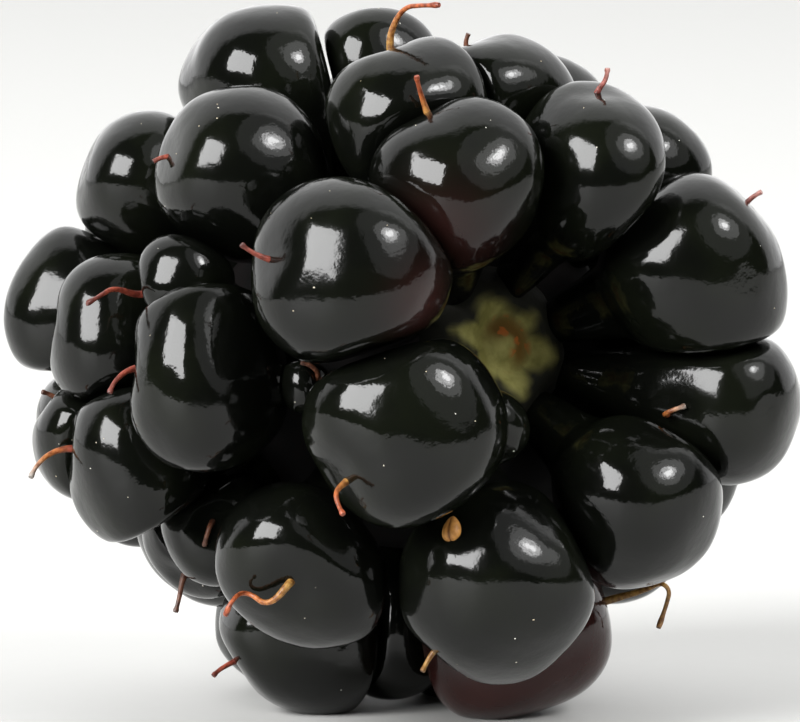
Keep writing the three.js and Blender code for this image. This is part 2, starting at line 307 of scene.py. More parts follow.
PLACED: tuple[Seat, ...] = (
    Seat(Ring.STEM_END, (35, 12.5), (3.1, 4.7, 4.1), 0.1,
         Style((32, -13), 0.68, ((10, 76), (41, -30)), Tint.PINK)),
    Seat(Ring.STEM_END, (31, 70), (4.9, 4.5, 4.1), 0.1,
         Style((41, -58), 0.43, ((3, -74),), Tint.PINK)),
    Seat(Ring.STEM_END, (38.5, 116), (4.0, 4.3, 4.3), 0.03,
         Style((111, 148), 0.82, ((43, -65),), Tint.FADED)),
    Seat(Ring.STEM_END, (41, 155.7), (4.2, 4.5, 3.7), 0, Style((45, 30))),
    Seat(Ring.STEM_END, (40.8, 244.3), (4.5, 4.8, 4.0), 0,
         Style((53, -11), 1.1, ((38, -4), (45, -95), (45, -112)), Tint.ORANGE)),
    Seat(Ring.STEM_END, (45.4, 288.6), (4.5, 5.1, 4.1), 0.75,
         Style((49, -7), 0.78, ((49, 12), (47, 35)), Tint.RED), Blush(0.55, 80, 197, 30)),
    Seat(Ring.STEM_END, (38.5, 328), (4.0, 4.2, 4.1), 0.15,
         Style((54, 19), 1, ((25, 7), (28, 25)), Tint.ORANGE), Blush(0.5, 88, 238, 44)),
    Seat(Ring.STEM_END, (30, 220), (1.8, 1.8, 1.8), -1.3, Style((20, 0))),
    Seat(Ring.STEM_END, (60, 262), (1.3, 1.3, 1.3), -1.4,
         Style((87, 165), 0.82, ((60, 31),), Tint.BROWN)),
    Seat(Ring.SECOND, (57.5, 3), (3.9, 3.5, 3.4), -0.05,
         Style((44, -41), 0.3, ((18, 117),), Tint.BROWN)),
    Seat(Ring.SECOND, (57, 46), (3.2, 3.6, 3.8), -0.5,
         Style((50, 20), 0.4, ((20, 30),), Tint.PINK)),
    Seat(Ring.SECOND, (54.5, 193), (4.6, 5.1, 4.2), 0.3,
         Style((64, 28), 0.54, ((32, 46),), Tint.OCHRE)),
    Seat(Ring.SECOND, (72, 224.6), (4.3, 4.2, 3.1), 0.28,
         Style((43, 148), 2.5, ((46, -6), (123, 30), (30, 130), (82, -33)), Tint.ORANGE)),
    Seat(Ring.SECOND, (73.6, 269.7), (4.9, 3.7, 3.8), 0.05,
         Style((43, 13), 1, ((31, -68), (62, -89)), Tint.RED)),
    Seat(Ring.SECOND, (76.3, 313), (4.3, 4.4, 4.0), 0.05,
         Style((36, -52), 0.38, ((86, -58),), Tint.RED)),
    Seat(Ring.SECOND, (57, 340.3), (4.3, 3.7, 3.8), 0.08,
         Style((40, 15), 2.5, ((25, 127), (68, 180), (77, 165)), Tint.ORANGE)),
    Seat(Ring.GIRTH, (88, 359), (3.0, 3.2, 3.4), 0.1, Style((30, 30))),
    Seat(Ring.GIRTH, (82, 166), (5.2, 4.3, 4.3), 0.1,
         Style((88, -108), 3.4, ((86, -147), (95, 178), (61, -13), (47, 92)), Tint.OCHRE),
         Blush(0.8, 40, 150, 120)),
    Seat(Ring.GIRTH, (101, 199), (4.8, 3.7, 3.6), 0,
         Style((57, 71), 0.73, ((52, 95), (36, 103)), Tint.RED)),
    Seat(Ring.GIRTH, (94, 233), (2.7, 2.8, 2.8), -0.9,
         Style((70, 152), 0.77, ((66, -45),), Tint.BROWN)),
    Seat(Ring.GIRTH, (104, 229), (3.0, 3.2, 3.2), -1,
         Style((22, -166), 0.95, ((34, -89), (25, -110)), Tint.BROWN)),
    Seat(Ring.GIRTH, (95.4, 253.4), (4.2, 4.2, 3.1), 0.2,
         Style((53, 48), 1.4, ((13, 30), (20, -93), (43, -118)), Tint.FADED)),
    Seat(Ring.GIRTH, (100.5, 280.5), (3.9, 3.6, 3.3), -0.2, Style((40, 20))),
    Seat(Ring.GIRTH, (79, 288), (2.3, 2.3, 2.3), 0,
         Style((62, -30), 2.3, ((2, -173), (43, -125), (38, -88)), Tint.RED)),
    Seat(Ring.GIRTH, (97.1, 341.9), (4.3, 4.8, 4.1), 0.5, Style((45, -60))),
    Seat(Ring.BEHIND, (109, 260), (3.2, 3.6, 3.4), 0,
         Style((60, 76), 0.4, ((29, 110),), Tint.BROWN)),
    Seat(Ring.BEHIND, (125, 291), (4.3, 3.4, 3.6), 0.1,
         Style((40, 10), 0.5, ((30, 20),), Tint.BROWN)),
    Seat(Ring.BEHIND, (110.3, 318), (3.8, 3.9, 3.4), 0.12, Style((35, -60))),
    Seat(Ring.BEHIND, (105, 158), (4.3, 4.3, 4.3), 0, Style((50, 20))),
    Seat(Ring.BEHIND, (128, 182), (4.4, 4.4, 4.4), 0, Style((60, 10))),
    Seat(Ring.BEHIND, (130, 213), (4.0, 4.0, 4.0), -1.4, Style((60, 10))),
    Seat(Ring.BEHIND, (100, 181), (3.0, 3.4, 3.2), -0.3, Style((60, 10))),
)


@dataclass(frozen=True)
class Row:
    """Drupelets of the far side that stand by a rule: degrees back, turns, size and rise."""

    ring: Ring
    back: float
    turns: tuple[float, ...]
    size: float
    rise: float


ROWS: tuple[Row, ...] = (
    Row(Ring.FAR_SIDE, 63, (90, 125), 4.0, -0.95),
    Row(Ring.FAR_SIDE, 84, (32, 68, 104, 134), 4.1, -0.6),
    Row(Ring.FAR_SIDE, 107, (17, 50, 84, 118), 4.1, -0.4),
    Row(Ring.TIP, 130, (352, 29, 66, 104, 142, 257, 322), 4.0, -0.8),
    Row(Ring.TIP, 154, (20, 92, 164, 236, 300), 4.1, -0.4),
    Row(Ring.TIP, 180, (0,), 4.1, -0.4),
)
ROW_TINTS = (Tint.RED, Tint.ORANGE, Tint.BROWN, Tint.FADED, Tint.PINK)


@dataclass
class Drupelet:
    """One drupelet: where it is, which way it faces, and the radius of its skin in any direction."""

    POWER = 2.2
    BELLY = 1.15
    ROOT_SHARE = 0.56
    ROOT_WIDTH = 0.4
    ROOT_BLEND = 6.0
    WAVE = 0.025
    WAVES = ((3.1, 0.0, 0.0), (0.0, 2.7, 1.3), (-1.9, 0.0, 3.6))
    DIMPLE_DEPTH = 0.3
    DIMPLE_SPREAD = 30.0
    PRESS = 14
    SEAM = 0.05
    NEAR = 6.5
    SMALLEST = 2.0

    seat: Seat
    phases: Array
    flats: list[tuple[Array, float]] = field(default_factory=list)

    def __post_init__(self) -> None:
        """Works out its middle and its outward, backward and sideways directions."""
        back, turn = (math.radians(v) for v in self.seat.at)
        across, up = AXES.across * math.sin(turn), AXES.up * math.cos(turn)
        place = (AXES.along * math.cos(back), across * math.sin(back), up * math.sin(back))
        slope = (part / radius**2 for part, radius in zip(place, (AXES.along, AXES.across, AXES.up)))
        self.out = unit(AXES.point(*slope))
        ahead = AXES.along * math.sin(back)
        backward = AXES.point(-ahead, across * math.cos(back), up * math.cos(back))
        self.back = unit(backward - self.out * (backward @ self.out))
        self.side = np.cross(self.back, self.out)
        self.middle = AXES.point(*place) + self.out * self.seat.rise
        self.root = self.ROOT_SHARE * float(np.linalg.norm(self.middle))
        self.to_style = self.heading(self.seat.style.foot)

    def heading(self, lean_and_turn: Pair) -> Array:
        """A direction that leans from straight out towards a turn, which is 0 for straight back."""
        lean, turn = (math.radians(v) for v in lean_and_turn)
        level = math.cos(turn) * self.back + math.sin(turn) * self.side
        return math.cos(lean) * self.out + math.sin(lean) * level

    def free_radius(self, directions: Array) -> Array:
        """The radius of the skin that it would have with no neighbours.

        Args:
            directions: unit vectors from its middle.

        Returns:
            One radius in mm for each direction.
        """
        own = [directions @ axis for axis in (self.side, self.back, self.out)]
        width, length, reach = self.seat.size
        inwards = own[2] < 0
        deep = np.where(inwards, self.BELLY * reach / 2, reach / 2)
        power = self.POWER
        level = abs(2 * own[0] / width) ** power + abs(2 * own[1] / length) ** power
        body = (level + abs(own[2] / deep) ** power) ** (-1 / power)
        slim = level * self.ROOT_WIDTH**-power + abs(own[2] / self.root) ** power
        root = np.where(inwards, slim ** (-1 / power), 0)
        both = (body**self.ROOT_BLEND + root**self.ROOT_BLEND) ** (1 / self.ROOT_BLEND)
        turns = [sum(w * o for w, o in zip(wave, own)) for wave in self.WAVES]
        wave = sum(np.sin(turn + phase) for turn, phase in zip(turns, self.phases))
        off_style = np.degrees(np.arccos(np.clip(directions @ self.to_style, -1, 1)))
        dimple = self.DIMPLE_DEPTH * np.exp(-((off_style / self.DIMPLE_SPREAD) ** 2))
        return both * (1 + self.WAVE * wave) - dimple

    def press_by(self, others: Sequence["Drupelet"]) -> None:
        """Finds the walls where its neighbours press on it, each a direction and a distance."""
        for other in others:
            apart = float(np.linalg.norm(other.middle - self.middle))
            least = min(other.seat.size[0], self.seat.size[0])
            if other is self or least <= self.SMALLEST or apart >= self.NEAR:
                continue
            towards = (other.middle - self.middle) / apart
            mine, theirs = float(self.free_radius(towards)), float(other.free_radius(-towards))
            outward = unit(self.out + other.out)
            normal = unit(towards - outward * (towards @ outward))
            share = apart * mine / (mine + theirs)
            self.flats.append((normal, share * float(towards @ normal) - self.SEAM / 2))

    def skin_radius(self, directions: Array) -> Array:
        """The radius of its skin where its neighbours press on it, in mm for each direction."""
        total = self.free_radius(directions) ** -float(self.PRESS)
        for normal, distance in self.flats:
            total = total + (np.maximum(directions @ normal, 0) / distance) ** self.PRESS
        return total ** (-1 / self.PRESS)

    def blush_at(self, directions: Array) -> Array:
        """How wine red its skin is in each direction, from 0 to 1."""
        blush = self.seat.blush
        to_blush = self.heading((blush.lean, blush.heading))
        off = np.degrees(np.arccos(np.clip(directions @ to_blush, -1, 1)))
        return blush.amount * np.exp(-((off / blush.spread) ** 2))


class Berry:
    """The whole layout: every drupelet in order, with the walls between them."""

    SEED = 20177
    SHIFT_BACK, SHIFT_TURN, SHIFT_SIZE = 5.0, 6.0, 0.06
    STYLE_LEAN, STYLE_HEADING = (25.0, 50.0), (-40.0, 40.0)
    STYLE_LENGTH, STYLE_CURL = (0.4, 1.2), (10.0, 60.0)

    def __init__(self) -> None:
        """Lays out the placed drupelets, then the rows, and presses them together."""
        draw = Draw(self.SEED)
        seats = [*PLACED, *self.row_seats(draw)]
        self.drupelets = [Drupelet(seat, self.phases(draw)) for seat in seats]
        for drupelet in self.drupelets:
            drupelet.press_by(self.drupelets)

    @staticmethod
    def phases(draw: Draw) -> Array:
        """Where each wave of one drupelet's skin starts."""
        return np.array([draw() * 2 * math.pi for _ in Drupelet.WAVES])

    def row_seats(self, draw: Draw) -> Iterator[Seat]:
        """The seats of the rows, each a little off its place.

        Args:
            draw: the berry's random draws, used in the order that the solids use them.

        Yields:
            One seat for each drupelet.
        """
        for row in ROWS:
            for number, turn in enumerate(row.turns):
                grown = row.size * (1 + self.SHIFT_SIZE * (draw() - 0.5))
                back = row.back + self.SHIFT_BACK * (draw() - 0.5)
                at = (back, turn + self.SHIFT_TURN * (draw() - 0.5))
                foot = (draw.between(*self.STYLE_LEAN), draw.between(*self.STYLE_HEADING))
                length = draw.between(*self.STYLE_LENGTH)
                way = (foot, (foot[0] + draw.between(*self.STYLE_CURL), foot[1]))
                tint = ROW_TINTS[number % len(ROW_TINTS)]
                size = (grown, row.size, grown)
                yield Seat(row.ring, at, size, row.rise, Style(foot, length, way, tint))


# ---- Finishes -----------------------------------------------------------------------------------
@dataclass(frozen=True)
class Finish:
    """What every finish has: a name, a gloss and the way that light bends into it."""

    name: str
    roughness: float
    ior: float

    def start(self) -> tuple[bpy.types.Material, Any, Any]:
        """A new material with its shader.

        Returns:
            The material, its node tree and its Principled shader.
        """
        material = bpy.data.materials.new(self.name)
        material.use_nodes = True
        tree = material.node_tree
        tree.nodes.clear()
        inputs = {"Roughness": self.roughness, "IOR": self.ior}
        shader = add_node(tree, "ShaderNodeBsdfPrincipled", inputs)
        add_node(tree, "ShaderNodeOutputMaterial", {"Surface": shader.outputs["BSDF"]})
        return material, tree, shader


def object_noise(tree: Any, size: float, detail: float, roughness: float = 0.5) -> Any:
    """Adds noise on Object coordinates and returns its value.

    Args:
        tree: the shader tree.
        size: the distance between its features, in mm.
        detail: how many finer layers it has.
        roughness: how strong the finer layers are.

    Returns:
        The noise's Fac output, about 0.3 to 0.7 over most of the surface.
    """
    where = add_node(tree, "ShaderNodeTexCoord").outputs["Object"]
    inputs = {"Vector": where, "Scale": per_mm(size), "Detail": detail, "Roughness": roughness}
    return add_node(tree, "ShaderNodeTexNoise", inputs).outputs["Fac"]


def ramp(tree: Any, value: Any, low: float, high: float, to: Pair = (0.0, 1.0)) -> Any:
    """Stretches a value from low..high to a range, with smooth ends, and returns the output."""
    inputs = {"Value": value, "From Min": low, "From Max": high, "To Min": to[0], "To Max": to[1]}
    return add_node(
        tree, "ShaderNodeMapRange", inputs, interpolation_type="SMOOTHSTEP"
    ).outputs["Result"]


def blend(tree: Any, share: Any, first: Any, second: Any, mode: str = "MIX") -> Any:
    """Mixes two colours by a share and returns the colour output."""
    inputs = {"Factor": share, "A": first, "B": second}
    node = tree.nodes.new("ShaderNodeMix")
    node.data_type, node.blend_type = "RGBA", mode
    for name, value in inputs.items():
        socket = next(s for s in node.inputs if s.name == name and s.enabled)
        if isinstance(value, bpy.types.NodeSocket):
            tree.links.new(value, socket)
        else:
            socket.default_value = value
    return next(s for s in node.outputs if s.enabled)


def attribute(tree: Any, name: str, output: str = "Fac") -> Any:
    """The value or colour that a piece holds for each corner."""
    return add_node(tree, "ShaderNodeAttribute", attribute_name=name).outputs[output]


def bump(tree: Any, height: Any, depth: float, over: Any = None) -> Any:
    """Adds a bump and returns its normal.

    Args:
        tree: the shader tree.
        height: the output that gives its height.
        depth: how deep it is, in mm.
        over: the normal that it lies over, or None for the surface's own.

    Returns:
        The bump's Normal output.
    """
    inputs = {"Height": height, "Strength": 1.0, "Distance": depth * MM}
    if over is not None:
        inputs["Normal"] = over
    return add_node(tree, "ShaderNodeBump", inputs).outputs["Normal"]


@dataclass(frozen=True)
class RipeSkin(Finish):
    """Ripe bramble skin: a thin waxed membrane over dark juice.

    The eye gets a near-black green with a hard, wet gloss, wine red where it is less ripe, and a fine
    pebbling that breaks up the edges of each highlight.
    """

    name: str = "ripe_bramble_skin"
    roughness: float = 0.1
    ior: float = 1.36
    black: str = "070806"
    green: str = "0b0d08"
    wine: str = "341b19"
    patch: float = 2.2
    pebble: float = 0.22
    pebble_depth: float = 0.006
    dent: float = 0.7
    dent_depth: float = 0.014
    worn_patch: float = 1.3
    worn: Pair = (0.08, 0.13)

    def material(self) -> bpy.types.Material:
        """Builds the material."""
        material, tree, shader = self.start()
        patches = ramp(tree, object_noise(tree, self.patch, 2.0), 0.4, 0.62)
        dark = blend(tree, patches, linear(self.black), linear(self.green))
        red = ramp(tree, attribute(tree, "blush"), 0.0, 1.0)
        tree.links.new(blend(tree, red, dark, linear(self.wine)), shader.inputs["Base Color"])
        fine = bump(tree, object_noise(tree, self.pebble, 2.0, 0.6), self.pebble_depth)
        wide = bump(tree, object_noise(tree, self.dent, 1.0), self.dent_depth, fine)
        tree.links.new(wide, shader.inputs["Normal"])
        worn = ramp(tree, object_noise(tree, self.worn_patch, 3.0), 0.35, 0.7, self.worn)
        tree.links.new(worn, shader.inputs["Roughness"])
        return material


@dataclass(frozen=True)
class DarkFlesh(Finish):
    """The flesh between the drupelets' roots: wet, dark and never lit."""

    name: str = "dark_bramble_flesh"
    roughness: float = 0.8
    ior: float = 1.2
    deep: str = "020202"
    juice: str = "060303"
    patch: float = 0.8

    def material(self) -> bpy.types.Material:
        """Builds the material."""
        material, tree, shader = self.start()
        patches = ramp(tree, object_noise(tree, self.patch, 3.0), 0.35, 0.65)
        colour = blend(tree, patches, linear(self.deep), linear(self.juice))
        tree.links.new(colour, shader.inputs["Base Color"])
        return material


@dataclass(frozen=True)
class WitheredThread(Finish):
    """A withered style: a dry stalk of plant fibre, translucent orange to brown, a little waxy."""

    name: str = "withered_style_thread"
    roughness: float = 0.42
    ior: float = 1.45
    shade: str = "9a8070"
    fibre: float = 0.14
    grain: float = 0.06
    grain_depth: float = 0.01

    def material(self) -> bpy.types.Material:
        """Builds the material."""
        material, tree, shader = self.start()
        colour = attribute(tree, "thread_colour", "Color")
        fibres = ramp(tree, object_noise(tree, self.fibre, 3.0), 0.3, 0.7)
        dark = blend(tree, 1.0, colour, linear(self.shade), "MULTIPLY")
        tree.links.new(blend(tree, fibres, dark, colour), shader.inputs["Base Color"])
        rough = bump(tree, object_noise(tree, self.grain, 2.0), self.grain_depth)
        tree.links.new(rough, shader.inputs["Normal"])
        return material


@dataclass(frozen=True)
class Pith(Finish):
    """The receptacle's pith: spongy pale green tissue with a bruised scar where the stalk came off, and
    painted shade round it.
    """

    name: str = "pale_receptacle_pith"
    roughness: float = 0.75
    ior: float = 1.3
    pale: str = "86824a"
    faded: str = "6c6834"
    # painted shade: the near-black that the pith turns past its lobes, where the drupelets' inner ends
    # shade it
    painted_shade_olive: str = "12120a"
    scar: str = "5c4416"
    rust: str = "92501a"
    cloud: float = 0.45
    spot: float = 0.3
    sponge: float = 0.18
    sponge_depth: float = 0.03

    def material(self) -> bpy.types.Material:
        """Builds the material."""
        material, tree, shader = self.start()
        clouds = ramp(tree, object_noise(tree, self.cloud, 3.0), 0.35, 0.7)
        unshaded_pith = blend(tree, clouds, linear(self.pale), linear(self.faded))
        # painted shade: past its lobes the pith is mixed into near-black, standing in for the
        # drupelets' shade
        pith_shade = blend(tree, attribute(tree, "pith_shade"), unshaded_pith, linear(self.painted_shade_olive))
        scarred = blend(tree, attribute(tree, "scar"), pith_shade, linear(self.scar))
        spots = ramp(tree, object_noise(tree, self.spot, 1.0), 0.56, 0.66)
        rusty = calculate(tree, "MULTIPLY", spots, attribute(tree, "scar"))
        tree.links.new(blend(tree, rusty, scarred, linear(self.rust)), shader.inputs["Base Color"])
        spongy = bump(tree, object_noise(tree, self.sponge, 4.0), self.sponge_depth)
        tree.links.new(spongy, shader.inputs["Normal"])
        return material


@dataclass(frozen=True)
class DryHusk(Finish):
    """A dried anther: papery, straw to brown, with darker furrows."""

    name: str = "dry_anther_husk"
    roughness: float = 0.55
    ior: float = 1.45
    straw: str = "b8823e"
    brown: str = "6a4018"
    mottle: float = 0.16

    def material(self) -> bpy.types.Material:
        """Builds the material."""
        material, tree, shader = self.start()
        furrows = ramp(tree, attribute(tree, "furrow"), 0.0, 1.0)
        mottle = ramp(tree, object_noise(tree, self.mottle, 3.0), 0.35, 0.65, (0.0, 0.5))
        shade = calculate(tree, "MAXIMUM", furrows, mottle)
        colour = blend(tree, shade, linear(self.straw), linear(self.brown))
        tree.links.new(colour, shader.inputs["Base Color"])
        return material


@dataclass(frozen=True)
class Dust(Finish):
    """Specks of dust and pollen on the wax: chalky and nearly white."""

    name: str = "pale_dust"
    roughness: float = 0.8
    ior: float = 1.45
    chalk: str = "d8d6cc"
    tan: str = "a89c84"
    patch: float = 0.9

    def material(self) -> bpy.types.Material:
        """Builds the material."""
        material, tree, shader = self.start()
        shade = ramp(tree, object_noise(tree, self.patch, 1.0), 0.4, 0.6)
        colour = blend(tree, shade, linear(self.chalk), linear(self.tan))
        tree.links.new(colour, shader.inputs["Base Color"])
        return material


@dataclass(frozen=True)
class PaleTable(Finish):
    """The surface that the berry lies on: matt white laminate with a trace of texture."""

    name: str = "pale_table"
    roughness: float = 0.6
    ior: float = 1.45
    white: str = "babab8"
    speck: str = "aeaeac"
    grain: float = 0.6
    grain_share: float = 0.06

    def material(self) -> bpy.types.Material:
        """Builds the material."""
        material, tree, shader = self.start()
        grain = ramp(tree, object_noise(tree, self.grain, 2.0), 0.3, 0.7, (0.0, self.grain_share))
        colour = blend(tree, grain, linear(self.white), linear(self.speck))
        tree.links.new(colour, shader.inputs["Base Color"])
        return material


# ---- Geometry Nodes -----------------------------------------------------------------------------
class NodePiece:
    """A piece made by a Geometry Nodes tree over a base mesh, and turned into a plain mesh."""

    def __init__(self, name: str, sizes: dict[str, float], material: bpy.types.Material) -> None:
        """Starts a tree with one named input for each size.

        Args:
            name: the tree's name.
            sizes: the named inputs and their values.
            material: what the result is made of.
        """
        self.sizes, self.material = sizes, material
        self.tree = bpy.data.node_groups.new(name, "GeometryNodeTree")
        face = self.tree.interface
        face.new_socket(name="Geometry", in_out="INPUT", socket_type="NodeSocketGeometry")
        for size in sizes:
            face.new_socket(name=size, in_out="INPUT", socket_type="NodeSocketFloat")
        face.new_socket(name="Geometry", in_out="OUTPUT", socket_type="NodeSocketGeometry")
        self.given = self.tree.nodes.new("NodeGroupInput").outputs

    def add(self, kind: str, inputs: dict[Any, Any] | None = None, **settings: Any) -> Any:
        """Adds a node to the tree and returns it."""
        return add_node(self.tree, kind, inputs, **settings)

    def shifted(self, geometry: Any, along: Any, distance: Any) -> Any:
        """Moves each point along a vector, times a distance, and returns the geometry.

        Args:
            geometry: what is moved.
            along: the output that gives each point's vector.
            distance: the number, or the output that gives it.

        Returns:
            The moved geometry's output.
        """
        inputs = {"Vector": along, "Scale": distance}
        shift = self.add("ShaderNodeVectorMath", inputs, operation="SCALE").outputs["Vector"]
        moved = self.add("GeometryNodeSetPosition", {"Geometry": geometry, "Offset": shift})
        return moved.outputs["Geometry"]

    def end(self, geometry: Any) -> None:
        """Ends the tree: real meshes in place of copies, then the material, then the output."""
        real = self.add("GeometryNodeRealizeInstances", {"Geometry": geometry})
        dressed = self.add(
            "GeometryNodeSetMaterial",
            {"Geometry": real.outputs["Geometry"], "Material": self.material},
        )
        self.add("NodeGroupOutput", {"Geometry": dressed.outputs["Geometry"]})

    def run(self, base: bpy.types.Object, name: str) -> bpy.types.Object:
        """Runs the tree on a base mesh.

        Args:
            base: the mesh that the tree starts from, which is used up.
            name: the new piece's name.

        Returns:
            A plain mesh object at the origin, with no modifier.
        """
        modifier = base.modifiers.new("made by nodes", "NODES")
        modifier.node_group = self.tree
        for item in self.tree.interface.items_tree:
            if item.in_out == "INPUT" and item.name in self.sizes:
                modifier[item.identifier] = self.sizes[item.name]
        base.update_tag()
        seen = base.evaluated_get(bpy.context.evaluated_depsgraph_get())
        mesh = bpy.data.meshes.new_from_object(seen)
        base.modifiers.remove(modifier)
        bpy.data.objects.remove(base)
        mesh.name = name
        mesh.shade_smooth()
        piece = bpy.data.objects.new(name, mesh)
        bpy.context.scene.collection.objects.link(piece)
        return piece


# ---- The drupelets ------------------------------------------------------------------------------
@dataclass
class Drupelets:
    """The drupelets' skins, ring by ring, with lumps too small for the solids."""

    berry: Berry
    meridians: int = 84
    open_parallels: int = 40
    root_parallels: int = 12
    open_reach: float = 112.0
    lump_height: float = 0.05
    lump_size: float = 1.1
    bare_edge: Pair = (0.3, 0.8)

    def parallels(self) -> Array:
        """Degrees from a drupelet's outward pole, closest together on its open side."""
        open_side = np.linspace(0, self.open_reach, self.open_parallels)
        root = np.linspace(self.open_reach, 180, self.root_parallels + 1)[1:]
        return np.concatenate([open_side, root])

    def skin(self, drupelet: Drupelet) -> tuple[Array, list[tuple[int, ...]], Array]:
        """One drupelet's closed skin.

        Args:
            drupelet: which one.

        Returns:
            Its corners from the berry's middle, its faces and the directions of its corners.
        """
        polar = np.radians(self.parallels()[1:-1])[:, None]
        turns = np.arange(self.meridians)[None] + 0.5 * (np.arange(len(polar)) % 2)[:, None]
        turns = 2 * math.pi * turns / self.meridians
        level = np.cos(turns)[..., None] * drupelet.back + np.sin(turns)[..., None] * drupelet.side
        ring = np.cos(polar)[..., None] * drupelet.out + np.sin(polar)[..., None] * level
        directions = np.concatenate([[drupelet.out], ring.reshape(-1, 3), [-drupelet.out]])
        points = drupelet.middle + directions * drupelet.skin_radius(directions)[:, None]
        return points, self.faces(len(polar)), directions

    def faces(self, rings: int) -> list[tuple[int, ...]]:
        """The triangles between the rings, with a fan at each pole."""
        count, last = self.meridians, rings * self.meridians + 1
        found: list[tuple[int, ...]] = []
        for i in range(count):
            j = (i + 1) % count
            found.append((0, 1 + j, 1 + i))
            found.append((last, last - count + i, last - count + j))
            for ring in range(rings - 1):
                here, below = 1 + ring * count, 1 + (ring + 1) * count
                if ring % 2 == 0:
                    found.append((here + i, here + j, below + i))
                    found.append((here + j, below + j, below + i))
                else:
                    found.append((here + i, here + j, below + j))
                    found.append((here + i, below + j, below + i))
        return found

    def lumps(self, material: bpy.types.Material) -> NodePiece:
        """The tree that raises small lumps on the skin."""
        sizes = {"Lump height": self.lump_height * MM, "Lump size": self.lump_size * MM}
        piece = NodePiece("skin lumps", sizes, material)
        given = piece.given
        where = piece.add("GeometryNodeInputPosition").outputs["Position"]
        scale = calculate(piece.tree, "DIVIDE", 1.0, given["Lump size"])
        noise = piece.add(
            "ShaderNodeTexNoise",
            {"Vector": where, "Scale": scale, "Detail": 1.0, "Roughness": 0.4},
        )
        off = calculate(piece.tree, "SUBTRACT", noise.outputs["Fac"], 0.5)
        high = calculate(piece.tree, "MULTIPLY", off, given["Lump height"])
        outwards = piece.add("GeometryNodeInputNormal").outputs["Normal"]
        piece.end(piece.shifted(given["Geometry"], outwards, high))
        return piece

    def build(self, material: bpy.types.Material) -> list[bpy.types.Object]:
        """Makes one piece for each ring.

        Args:
            material: the skin.

        Returns:
            The pieces.
        """
        lumps = self.lumps(material)
        made = []
        for ring in Ring:
            points, faces, blush, bare = [], [], [], []
            for drupelet in (d for d in self.berry.drupelets if d.seat.ring is ring):
                start = sum(map(len, points))
                corners, own_faces, directions = self.skin(drupelet)
                points.append(corners)
                faces += [tuple(start + corner for corner in face) for face in own_faces]
                blush.append(drupelet.blush_at(directions))
                bare.append(np.interp(directions @ drupelet.out, self.bare_edge, (0, 1)))
            base = mesh_object(ring.value, AXES.placed(np.concatenate(points)), faces)
            set_attribute(base, "blush", np.concatenate(blush))
            set_attribute(base, "bare", np.concatenate(bare))
            made.append(lumps.run(base, ring.value))
        return made


def ring_faces(sides: int, rings: int) -> list[tuple[int, ...]]:
    """The faces between rings of corners, with a fan at each end.

    Args:
        sides: how many corners a ring has.
        rings: how many rings there are, with the first and the last end's corners numbered after them.

    Returns:
        The corner numbers of each face.
    """
    first, last = rings * sides, rings * sides + 1
    faces: list[tuple[int, ...]] = []
    for i in range(sides):
        j = (i + 1) % sides
        faces.append((first, j, i))
        faces.append((last, first - sides + i, first - sides + j))
        for ring in range(rings - 1):
            here, beyond = ring * sides, (ring + 1) * sides
            faces.append((here + i, here + j, beyond + j, beyond + i))
    return faces


def lathe(profile: Sequence[Pair], sides: int) -> tuple[Array, list[tuple[int, ...]]]:
    """Turns a profile about the berry's axis.

    Args:
        profile: distances along the axis towards the stem, with radii, that start and end on the axis.
        sides: how many sides it has.

    Returns:
        Its corners from the berry's middle and its faces.
    """
    turns = 2 * math.pi * np.arange(sides) / sides
    inner = np.array(profile[1:-1])
    along = np.repeat(inner[:, 0], sides)
    radius = np.repeat(inner[:, 1], sides)
    turn = np.tile(turns, len(inner))
    points = AXES.point(along, radius * np.sin(turn), radius * np.cos(turn))
    ends = AXES.point([profile[0][0], profile[-1][0]], [0, 0], [0, 0])
    return np.concatenate([points, ends]), ring_faces(sides, len(inner))


@dataclass
class FleshCore:
    """The flesh that holds the drupelets' roots together round the receptacle."""

    profile: tuple[Pair, ...] = (
        (-8, 0),
        (-7.3, 1.8),
        (-5.6, 3.2),
        (-3, 4.2),
        (0, 4.7),
        (2.6, 4.6),
        (4.0, 3.6),
        (4.3, 2.6),
        (4.1, 0),
    )
    sides: int = 48

    def build(self, material: bpy.types.Material) -> bpy.types.Object:
        """Makes the core."""
        points, faces = lathe(self.profile, self.sides)
        piece = mesh_object("flesh_between_roots", AXES.placed(points), faces)
        piece.data.materials.append(material)
        return piece


